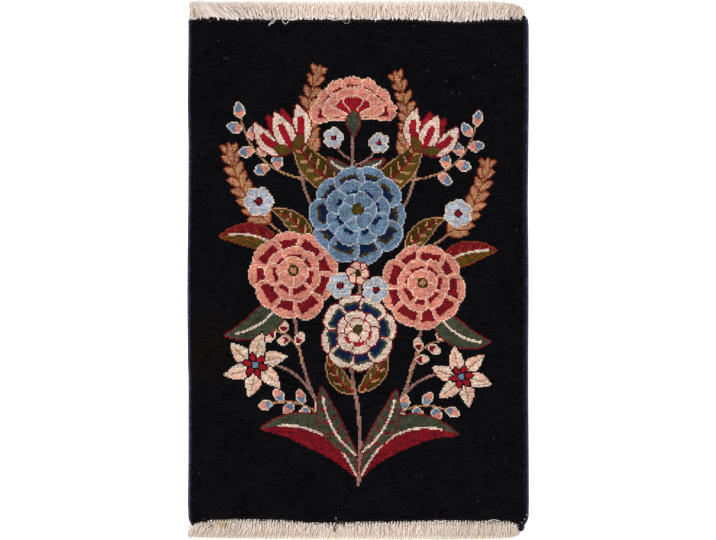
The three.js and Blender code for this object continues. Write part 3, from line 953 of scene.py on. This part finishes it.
# Wool yarn, dyed and spun: softly round turns with a faint gloss along the twist
overcast, tree, shader = new_material("indigo_wool_yarn_overcast")
shader.inputs["Roughness"].default_value = 0.85
shader.inputs["Specular IOR Level"].default_value = 0.08
shader.inputs["Sheen Weight"].default_value = 0.05
yarn = add_node(tree, "Attribute", {}, attribute_name="yarn").outputs["Color"]
spot = add_node(tree, "TexCoord", {}).outputs["Object"]
fibres = add_node(tree, "TexNoise", {"Vector": spot, "Scale": 1 / (0.8 * MM), "Detail": 2}).outputs["Fac"]
fibre_shade = add_node(tree, "MapRange", {"Value": fibres, "To Min": 0.6, "To Max": 1.4}).outputs["Result"]
shaded = add_node(tree, "VectorMath", {0: yarn, "Scale": fibre_shade}, operation="SCALE").outputs["Vector"]
tree.links.new(shaded, shader.inputs["Base Color"])
bump = add_node(tree, "Bump", {"Height": fibres, "Strength": 0.5, "Distance": 0.3 * MM}).outputs["Normal"]
tree.links.new(bump, shader.inputs["Normal"])
for side, selvedge in selvedges.items():
    selvedge.data.materials.append(overcast)
    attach(selvedge, "root")
    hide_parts("selvedge_" + side)


# The fringes. The cotton warps run out of both ends of the weave and lie on the floor in locks. Deep
# ones lie flat and close, darkened as painted shade; over them each warp comes apart into its plies,
# which wander and cross.
FRINGE_REACHES = {
    "at": [-300, -284, -233, -150, -47, 96, 183, 240, 268, 284, 291],
    "upper": [30.4, 31.4, 31, 31.4, 32, 33.2, 33, 32, 28.5, 21, 13],
    "lower": [25, 27.2, 29, 30, 30.8, 31.2, 30.6, 29.9, 28.3, 25.5, 23],
}
# How far the tips lean to the right of the roots, and how soon: below 1 they turn off at the root
FRINGE_LEANS = {
    "at": [-300, -282, -262, -240, -222, -205, -185, -160, -120, 0, 120, 200, 260, 278, 291],
    "upper": [-2, -7, -21, -37, -34, -25, -17, -9, -2, 0, 2, 4, 7, 10, 9],
    "upper turn": [1.3, 1.3, 1, 0.8, 0.9, 1, 1.1, 1.3, 1.3, 1.3, 1.3, 1.3, 1.1, 0.9, 0.8],
    "lower": [-14, -15, -13, -10, -9, -9, -7, -4, -2, 0, -0.5, 0.5, 1, 0, -2],
    "lower turn": [0.5, 0.7, 1.1, 1.3, 1.3, 1.3, 1.3, 1.3, 1.3, 1.3, 1.3, 1.3, 1.3, 1.3, 1.3],
}
FRINGE_TONES = {
    "at": [-300, -200, -60, 120, 200, 291],
    "upper": [0.9, 0.91, 1.04, 1, 0.92, 0.88],
    "lower": [0.9, 0.91, 0.98, 0.95, 0.88, 0.85],
}
STRAYING = {"upper": 1.8, "lower": 0.75}  # how much the plies of each end wander
# How strongly each end's deep plies are darkened as painted shade, and its top plies lightened as painted
# light
LAYER_LIGHT_AND_SHADE = {
    "at": [-300, -275, -190, -120, 291],
    "upper": [0.7, 1.35, 1.45, 0.85, 0.8],
    "lower": [0.8, 0.8, 0.8, 0.72, 0.6],
}
CURLS = {"upper": 80, "lower": 8}
CURL_TOP = 8.3
CURL_FALL = 2.2
CURL_RADII = (0.45, 0.8)
CURL_MARGINS = (8, -16)  # no curl lies nearer than this to the left end of the fringe and the right
YARN_STEPS = 9
# For each layer, from the deepest up: how far apart its plies lie, how thick they are and how much of
# that is left at the tip, how high they lie and how much more at the root of a lock, their tone, which is
# painted shade on the deep layers and painted light on the top ones, and their straying, how far they
# end short of the longest, and how much each follows the ways of its lock
LAYER_KEYS = ("pitch", "radius", "tip", "lift", "rise", "tone", "wander", "short", "lock")
FRINGE_LAYERS = [dict(zip(LAYER_KEYS, row)) for row in (
    (1.05, 1.1, 1.0, 1.0, 0, 0.42, 0.2, (1.8, 3.6), 0.1),
    (1.9, 0.62, 0.6, 1.6, 0.6, 0.84, 0.9, (0.5, 5), 1),
    (2.2, 0.58, 0.5, 2.3, 1.2, 1.04, 1.5, (0, 6), 1),
    (2.8, 0.56, 0.5, 3, 1.6, 1.14, 2.8, (0, 6.5), 1),
    (5.6, 0.5, 0.5, 4, 1, 1.18, 6.5, (0, 7), 0.5),
)]
TIP_LIMITS = {"upper": (-304, 301), "lower": (-306.5, 291)}  # beyond these no tip strays sideways
TIP_REACH = {"upper": 5, "lower": 3.2}  # the longest plies pass the solid's locks by this much
FRAY_PITCH = 0.65
FRAY_RADIUS = 0.38
FRAY_TONE = 1.04
FRAY_REACH = {"upper": (-0.02, 0.12), "lower": (0.05, 0.17)}  # past the locks, as a share of their length
# The feet: their radius and that of the plies beside each, with how much of the lock lies between the
# two; how high they come up and how far behind the locks; their length, and how soon they drop
FOOT_RADIUS = {"upper": 1.3, "lower": 1.9}
FOOT_SIDES = {"upper": (0.6, 0.17), "lower": (1.1, 0.3)}
FOOT_TOP = {"upper": 7.6, "lower": 6}
FOOT_BOTTOM = 2.8
FOOT_BACK = {"upper": 0, "lower": 1.2}
FOOT_LENGTHS = {"upper": (5, 8), "lower": (6, 9)}
FOOT_FALL = {"upper": 1.5, "lower": 0.9}  # below 1 the feet stay up and drop late
FOOT_TONE = 1.02
FEET_STOP = 284  # mm to the right, beyond which no lock has one
FEET_HIDDEN = {"upper": 0.3, "lower": 0.06}  # the share of locks whose foot doesn't show
ROOT_BUNCH = {"upper": 0.1, "lower": 0.45}  # how far the plies of a lock draw together at their roots
ROOT_RISE = {"upper": 0, "lower": 3.5}  # how much higher than the weave they may come up there
WEFTS = 6  # the last wefts, two under the pile and four of bare weave beyond it
WEFT_PITCH = 1.1
WEFT_RADIUS = 0.8
WEFT_TONE = 0.7
ROOT_COTTON = {"upper": "EBDFDB", "lower": "EADFD3"}
YARN_COTTON = "F1E0D3"
TIP_COTTON = {"upper": "F9F2ED", "lower": "FFF5E8"}
BLEACHED = {"upper": (3, 8, 27, 34), "lower": (3, 8, 25, 31.5)}  # mm past the pile where each shade starts
BROWN_PAINTED_SHADE = (0.8, 1, 1.3)  # the painted shade on what lies deep is browner: red, green and blue fade by these powers of the tone
EVEN_TIPS = {"from": 23, "over": 8, "share": 0.8}  # mm past the pile, where deep plies lose their painted shade and turn as pale as others
STAIN = {"at": (-246.5, -455.8), "radius": 8, "colour": "D6A060", "depth": 0.6}
PALEST = 0.95

def strands(name, lines, radii):
    """Thin yarns along lines of equal length, each swept and closed at both ends."""
    curve = bpy.data.curves.new(name, "CURVE")
    curve.dimensions = "3D"
    curve.bevel_mode = "ROUND"
    curve.bevel_depth = MM
    curve.bevel_resolution = 0
    curve.use_fill_caps = True
    for line, radius in zip(lines, radii):
        spline = curve.splines.new("POLY")
        spline.points.add(len(line) - 1)
        full = np.ones((len(line), 4))
        full[:, :3] = line * MM
        spline.points.foreach_set("co", full.ravel())
        spline.points.foreach_set("radius", radius)
    piece = bpy.data.objects.new(name, curve)
    bpy.context.collection.objects.link(piece)
    deselect_all()
    piece.select_set(True)
    bpy.context.view_layer.objects.active = piece
    bpy.ops.object.convert(target="MESH")
    bpy.ops.object.shade_smooth()
    return bpy.context.object


def laid(end, x, out, height):
    """The points of a line at one end of the rug, from how far out they are."""
    return np.stack([x, OUTWARD[end] * out, height], axis=1)


def warp_lines(end, layer, hand):
    """One layer of the loose warps of one end: a line, a thickness along it and a tone for each."""
    start, stop = FRINGES[end]
    middles = np.array([lock["middle"] for lock in LOCKS[end]])
    wander = layer["wander"] * STRAYING[end]
    share = np.linspace(0, 1, YARN_STEPS)
    for root in np.arange(start + layer["radius"], stop, layer["pitch"]):
        root += layer["pitch"] * hand.uniform(-0.3, 0.3)
        lock = LOCKS[end][np.abs(middles - root).argmin()]
        own_lean = wander * np.clip(hand.standard_normal(), -1.8, 1.8)
        tip_x = root + read(FRINGE_LEANS, end, root) + layer["lock"] * lock["lean"] + own_lean
        lean = np.clip(tip_x, *TIP_LIMITS[end]) - root
        reach = PILE_LENGTH / 2 + read(FRINGE_REACHES, end, root) + TIP_REACH[end]
        reach -= hand.uniform(*layer["short"])
        root_y = abs(pile_end(end, root)) - 0.6
        wave = layer["lock"] * lock["wave"] * np.sin(lock["phase"] + share * 6)
        curl = min(wander, 2.2) * hand.uniform(0.2, 1.0)
        own = curl * np.sin(hand.uniform(0, 6.3) + share * hand.uniform(5, 11))
        gather = layer["lock"] * 0.4 * (lock["middle"] - root) * np.sin(np.pi * np.clip(share * 1.2, 0, 1))
        turn = read(FRINGE_LEANS, end + " turn", root)
        bunch = ROOT_BUNCH[end] * (lock["middle"] - root) * np.clip(1 - share * 4.5, 0, 1)
        x = root + lean * share ** turn + (wave + own) * np.clip(share * 3, 0, 1)
        x += gather + layer["lock"] * bunch
        y = root_y + (reach - root_y) * share
        height = layer["lift"] + layer["rise"] * lock["lift"] * (1 - share) ** 0.7
        height = height + 0.2 * min(wander, 2.2) * np.sin(hand.uniform(0, 6.3) + share * 8)
        height = np.minimum(height, WEAVE_TOP - 0.6 + ROOT_RISE[end] + 24 * share)
        radius = layer["radius"] * hand.uniform(0.85, 1.15)
        radius = radius * np.interp(share, [0, 0.7, 1], [1.1, 1, layer["tip"]])
        # Painted shade and light: the deep layers are darkened, the top ones lightened
        tone = 1 + (layer["tone"] - 1) * read(LAYER_LIGHT_AND_SHADE, end, root)
        yield laid(end, x, y, np.maximum(height, radius)), radius, tone * lock["tone"] * hand.normal(1, 0.07)


def foot_lines(end, hand):
    """The foot of each lock: it comes up between the last knots as a fat round bunch and arches down."""
    share = np.linspace(0, 1, YARN_STEPS)
    for lock in LOCKS[end]:
        if lock["middle"] > FEET_STOP or hand.random() < FEET_HIDDEN[end]:
            continue
        long = hand.uniform(*FOOT_LENGTHS[end])
        lean = read(FRINGE_LEANS, end, lock["middle"]) * 0.3 + 0.9 * hand.standard_normal()
        side_radius, side_share = FOOT_SIDES[end]
        for beside, fat in ((0, FOOT_RADIUS[end]), (-1, side_radius), (1, side_radius)):
            root = lock["middle"] + beside * lock["width"] * side_share
            back = lock["back"] - FOOT_BACK[end] - 2.8 * abs(beside)
            y = abs(pile_end(end, root)) - back + (long + back) * share
            x = root + lean * share + 0.4 * np.sin(share * 5 + hand.uniform(0, 6))
            fall = (1 - share) ** FOOT_FALL[end] * np.clip(0.95 + share, 0, 1)
            height = FOOT_BOTTOM + (FOOT_TOP[end] - FOOT_BOTTOM - 1.2 * abs(beside)) * fall
            radius = fat * hand.uniform(0.85, 1.1)
            radius = radius * np.interp(share, [0, 0.12, 0.25, 0.65, 1], [0.6, 0.9, 1, 0.8, 0.3])
            yield laid(end, x, y, height), radius, FOOT_TONE * lock["tone"]


def frayed_lines(end, hand):
    """The cut tips, undone into fine ends that thin out past the plies."""
    share = np.linspace(0.75, 1, YARN_STEPS)
    for root in np.arange(FRINGES[end][0] + 1, FRINGES[end][1], FRAY_PITCH):
        past = share * (1 + hand.uniform(*FRAY_REACH[end]))
        lean = read(FRINGE_LEANS, end, root) + 2 * hand.standard_normal()
        x = root + lean * past + 0.4 * np.sin(hand.uniform(0, 6.3) + share * 20)
        y = PILE_LENGTH / 2 + (read(FRINGE_REACHES, end, root) + 0.3 * TIP_REACH[end]) * past
        height = hand.uniform(0.4, 1.6) + 3 * (1 - share)
        radius = FRAY_RADIUS * np.interp(share, [0.75, 0.9, 1], [1, 1, 0.6])
        yield laid(end, x, y, height), radius, FRAY_TONE


def curl_lines(end, hand):
    """Short plies that sprang back and lie as loops on the last knots."""
    share = np.linspace(-1, 1, YARN_STEPS)
    for middle in hand.uniform(*np.add(FRINGES[end], CURL_MARGINS), CURLS[end]):
        x = middle + hand.uniform(1.2, 4.4) * share
        back = hand.uniform(-0.4, 1.1)
        y = np.abs(pile_end(end, x)) - back + (back + hand.uniform(1.5, 3.5)) * share ** 2
        radius = hand.uniform(*CURL_RADII) * np.interp(np.abs(share), [0, 0.7, 1], [1, 0.9, 0.4])
        yield laid(end, x, y, CURL_TOP - CURL_FALL * share ** 2), radius, hand.uniform(0.9, 1.1)


# Cotton that strayed: single ends, loops and specks that lie over the pile or the selvedges, and dark
# strands laid as painted shadow in gaps. Each has its radius, how many lie together, its tone and the
# places that it runs through.
STRAYS = {
    "upper": [
        (2.1, 1, 1, [(-250.4, 448.8, 8.6), (-250.8, 452, 8), (-251.6, 457.5, 6)]),
        (2.0, 1, 1, [(-216.6, 448, 8.6), (-216.2, 451, 8), (-215.6, 455.5, 6)]),
        (0.5, 6, 1, [(-303.6, 458, 6), (-301.5, 453.8, 7.4), (-297, 451.8, 8), (-290, 453, 7)]),
        (0.4, 3, 1, [(-304.2, 456, 6.4), (-303.8, 452, 7.4), (-299, 450.8, 8.2)]),
        # A dark strand laid as painted shadow in a gap between locks
        (0.7, 1, 0.09, [(-225, 470, 7.4), (-220, 466.6, 8), (-211, 459.5, 8.4)]),
        (2.2, 1, 0.01, [(273.4, 447, 8.2), (274.2, 455.6, 8.6)]),
        (0.5, 3, 0.85, [(-160.1, 439.5, 9.6), (-157.2, 442.6, 9.6), (-152.7, 444.9, 9.5),
         (-148.2, 450.3, 8.4), (-143.8, 453.9, 6)]),
        (0.5, 1, 1, [(-156.6, 443.6, 9.6), (-155.8, 447.6, 9.4), (-151.4, 450.4, 8.2), (-147, 454, 6)]),
        (0.6, 1, 1, [(-137.5, 453, 7), (-134.8, 445.8, 9.5), (-130.7, 441.7, 9.6), (-126.7, 444.9, 9.5),
         (-124, 451.5, 7.4)]),
        (0.9, 1, 1, [(-134.8, 454, 6.4), (-131.2, 450.1, 8.2), (-127.6, 450.8, 8.2), (-124.9, 454.6, 6)]),
        (0.9, 1, 1, [(-122.3, 450.6, 8), (-116.9, 448.7, 8.6), (-112.4, 451.1, 8), (-110.6, 455.5, 6)]),
        (0.34, 1, 0.7, [(-26.7, 452, 7), (-25.5, 445.5, 9.4), (-22.8, 443.1, 9.5), (-18.3, 443.1, 9.5),
         (-15.6, 447.2, 9.2), (-14.7, 452, 7.4)]),
        (0.7, 1, 1, [(-54, 453, 7), (-47, 449.6, 8.2), (-38, 449.4, 8.2), (-31, 452, 7.4)]),
        (0.8, 1, 1, [(31, 446.2, 9.2), (31.4, 452, 7.6)]),
        # A speck put where a glint shows on the selvedge: a painted highlight
        (0.7, 1, 1, [(300, 451.8, 6.9), (301.2, 450.4, 6.9)]),
        (0.6, 1, 1, [(290.4, 450.4, 8), (291.6, 448.6, 8.6)]),
    ],
    "lower": [
        (0.6, 1, 1.1, [(229, -452, 7.4), (234.5, -448.6, 8), (240.7, -446.7, 8.4), (247, -446.8, 8.4),
         (252.4, -448.4, 8), (257, -451.4, 7.2)]),
        # A dark strand laid under the arc above as its painted shadow
        (0.5, 1, 0.2, [(234, -451.4, 8.2), (241, -449.2, 8.4), (248, -449.4, 8.2), (253, -451.6, 8)]),
        (0.5, 9, 1, [(-294, -456, 2.6), (-300, -456, 2.6), (-303.5, -459, 2.4), (-305, -468, 2),
         (-303.5, -479, 1)]),
        (0.6, 7, 1, [(-292, -457, 1.8), (-298, -459, 1.8), (-301.5, -464, 1.8), (-302, -481, 1)]),
        # A dark strand laid as painted shadow in a gap between locks
        (1.1, 1, 0.05, [(-260.6, -454.6, 9.2), (-264, -457.6, 9.2), (-268.3, -460.4, 8.8)]),
        (0.8, 1, 1.1, [(283, -455, 8), (283.2, -461, 8), (285, -466, 7), (289, -469.6, 5),
         (294.4, -469.4, 3)]),
        # The next two: dark strands laid as painted shadow in a forked gap between locks
        (1.2, 1, 0.02, [(-35.5, -446.5, 9.4), (-41, -455, 9), (-43.5, -460, 7.6), (-43.5, -469, 6.6)]),
        (1.1, 1, 0.02, [(-30.5, -447.5, 9.4), (-27.5, -453, 9), (-26, -458, 8.2)]),
        (0.6, 1, 0.75, [(-40.6, -441.6, 9.4), (-39.2, -445.2, 9.4)]),
        (0.75, 1, 1, [(302.2, -437.8, 6.6), (303.4, -439.4, 6.6)]),
        (0.75, 1, 1, [(297.8, -445, 6.6), (298.8, -446.8, 6.6)]),
        (0.7, 1, 1, [(292.4, -451, 8), (293.6, -452.8, 7.4)]),
        (0.7, 1, 1, [(297.2, -455.8, 7), (298.8, -457.4, 7)]),
    ],
}


def stray_lines(end, hand):
    """Each stray along its places, thinner towards both its ends."""
    for thick, copies, tone, places in STRAYS[end]:
        for _ in range(copies):
            along = np.array(places, float)
            if copies > 1:
                along += (hand.normal(0, 1, 3) + hand.normal(0, 0.5, along.shape)) * (1, 1, 0.2)
            step = np.linspace(0, len(along) - 1, YARN_STEPS)
            line = np.stack([np.interp(step, np.arange(len(along)), along[:, i]) for i in range(3)], axis=1)
            yield line, thick * np.sin(np.pi * np.linspace(0.15, 0.85, YARN_STEPS)) ** 0.5, tone


def weft_lines(end):
    """The last wefts, which run across the warps beyond the pile."""
    x = np.arange(FRINGES[end][0] + 1, FRINGES[end][1], 4.0)
    for row in range(WEFTS):
        y = np.abs(pile_end(end, x)) - 1.5 + row * WEFT_PITCH
        z = 1.1 + 0.25 * np.sin(x * 2.4 + row * np.pi)
        yield laid(end, x, y, z), np.full(len(x), WEFT_RADIUS), WEFT_TONE


def cotton_colours(fringe, end, tones):
    """Greyer at the roots, cream along the yarn, bleached at the tips, and brown where it was stained.
    Painted shade darkens and browns the deep plies, painted light lightens the top ones, and both fade at the
    tips.
    """
    middles = face_middles(fringe) / MM
    out = np.abs(middles[:, 1]) - PILE_LENGTH / 2
    stages = (ROOT_COTTON[end], YARN_COTTON, YARN_COTTON, TIP_COTTON[end])
    stages = np.array([linear(colour)[:3] for colour in stages])
    colours = np.stack([np.interp(out, BLEACHED[end], stages[:, i]) for i in range(3)], axis=1)
    # A swept line has its four cap faces first of all, the last line's foremost, and then its sides
    caps = np.repeat(tones[::-1], 4)
    tone = np.concatenate([caps, np.repeat(tones, (len(middles) - len(caps)) // len(tones))])
    # Painted shade and light: each ply's tone fades out towards the tips, and browns the colour where it
    # darkens
    even = EVEN_TIPS["share"] * np.clip((out - EVEN_TIPS["from"]) / EVEN_TIPS["over"], 0, 1)
    tone = tone + (1 - tone) * even
    colours = colours * tone[:, None] ** BROWN_PAINTED_SHADE * read(FRINGE_TONES, end, middles[:, 0])[:, None]
    away = np.hypot(middles[:, 0] - STAIN["at"][0], middles[:, 1] - STAIN["at"][1]) / STAIN["radius"]
    stained = STAIN["depth"] * np.exp(-(away ** 2))[:, None]
    colours = colours * (1 - stained) + np.array(linear(STAIN["colour"])[:3]) * stained
    return colours * np.minimum(1, PALEST / colours.max(axis=1))[:, None]


fringes = {}
for end, seed in (("upper", 61), ("lower", 62)):
    hand = np.random.default_rng(seed)
    yarns = [yarn for layer in FRINGE_LAYERS for yarn in warp_lines(end, layer, hand)]
    for kind in (foot_lines, curl_lines, frayed_lines, stray_lines):
        yarns += kind(end, hand)
    parts = []
    for name, group in (("fringe_yarns_" + end, yarns), ("wefts", weft_lines(end))):
        lines, radii, tones = zip(*group)
        part = strands(name, lines, radii)
        paint_faces(part, "yarn", cotton_colours(part, end, tones))
        parts.append(part)
    fringes[end] = join(*parts)

# Undyed cotton, plied and undone: cream, matt and a little fuzzy, duller near the weave
warp_cotton, tree, shader = new_material("undyed_cotton_warp_ends")
shader.inputs["Roughness"].default_value = 0.9
shader.inputs["Specular IOR Level"].default_value = 0.15
shader.inputs["Sheen Weight"].default_value = 0.1
yarn = add_node(tree, "Attribute", {}, attribute_name="yarn").outputs["Color"]
spot = add_node(tree, "TexCoord", {}).outputs["Object"]
fibres = add_node(tree, "TexNoise", {"Vector": spot, "Scale": 1 / (0.7 * MM), "Detail": 2}).outputs["Fac"]
dust = add_node(tree, "TexNoise", {"Vector": spot, "Scale": 1 / (7 * MM), "Detail": 3}).outputs["Fac"]
fibre_shade = add_node(tree, "MapRange", {"Value": fibres, "To Min": 0.9, "To Max": 1.08}).outputs["Result"]
dust_shade = add_node(tree, "MapRange", {"Value": dust, "To Min": 0.88, "To Max": 1.12}).outputs["Result"]
both = add_node(tree, "Math", {0: fibre_shade, 1: dust_shade}, operation="MULTIPLY").outputs["Value"]
shaded = add_node(tree, "VectorMath", {0: yarn, "Scale": both}, operation="SCALE").outputs["Vector"]
tree.links.new(shaded, shader.inputs["Base Color"])
bump = add_node(tree, "Bump", {"Height": fibres, "Strength": 0.4, "Distance": 0.25 * MM}).outputs["Normal"]
tree.links.new(bump, shader.inputs["Normal"])
for end, fringe in fringes.items():
    fringe.data.materials.append(warp_cotton)
    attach(fringe, "root")
    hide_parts("fringe_" + end)
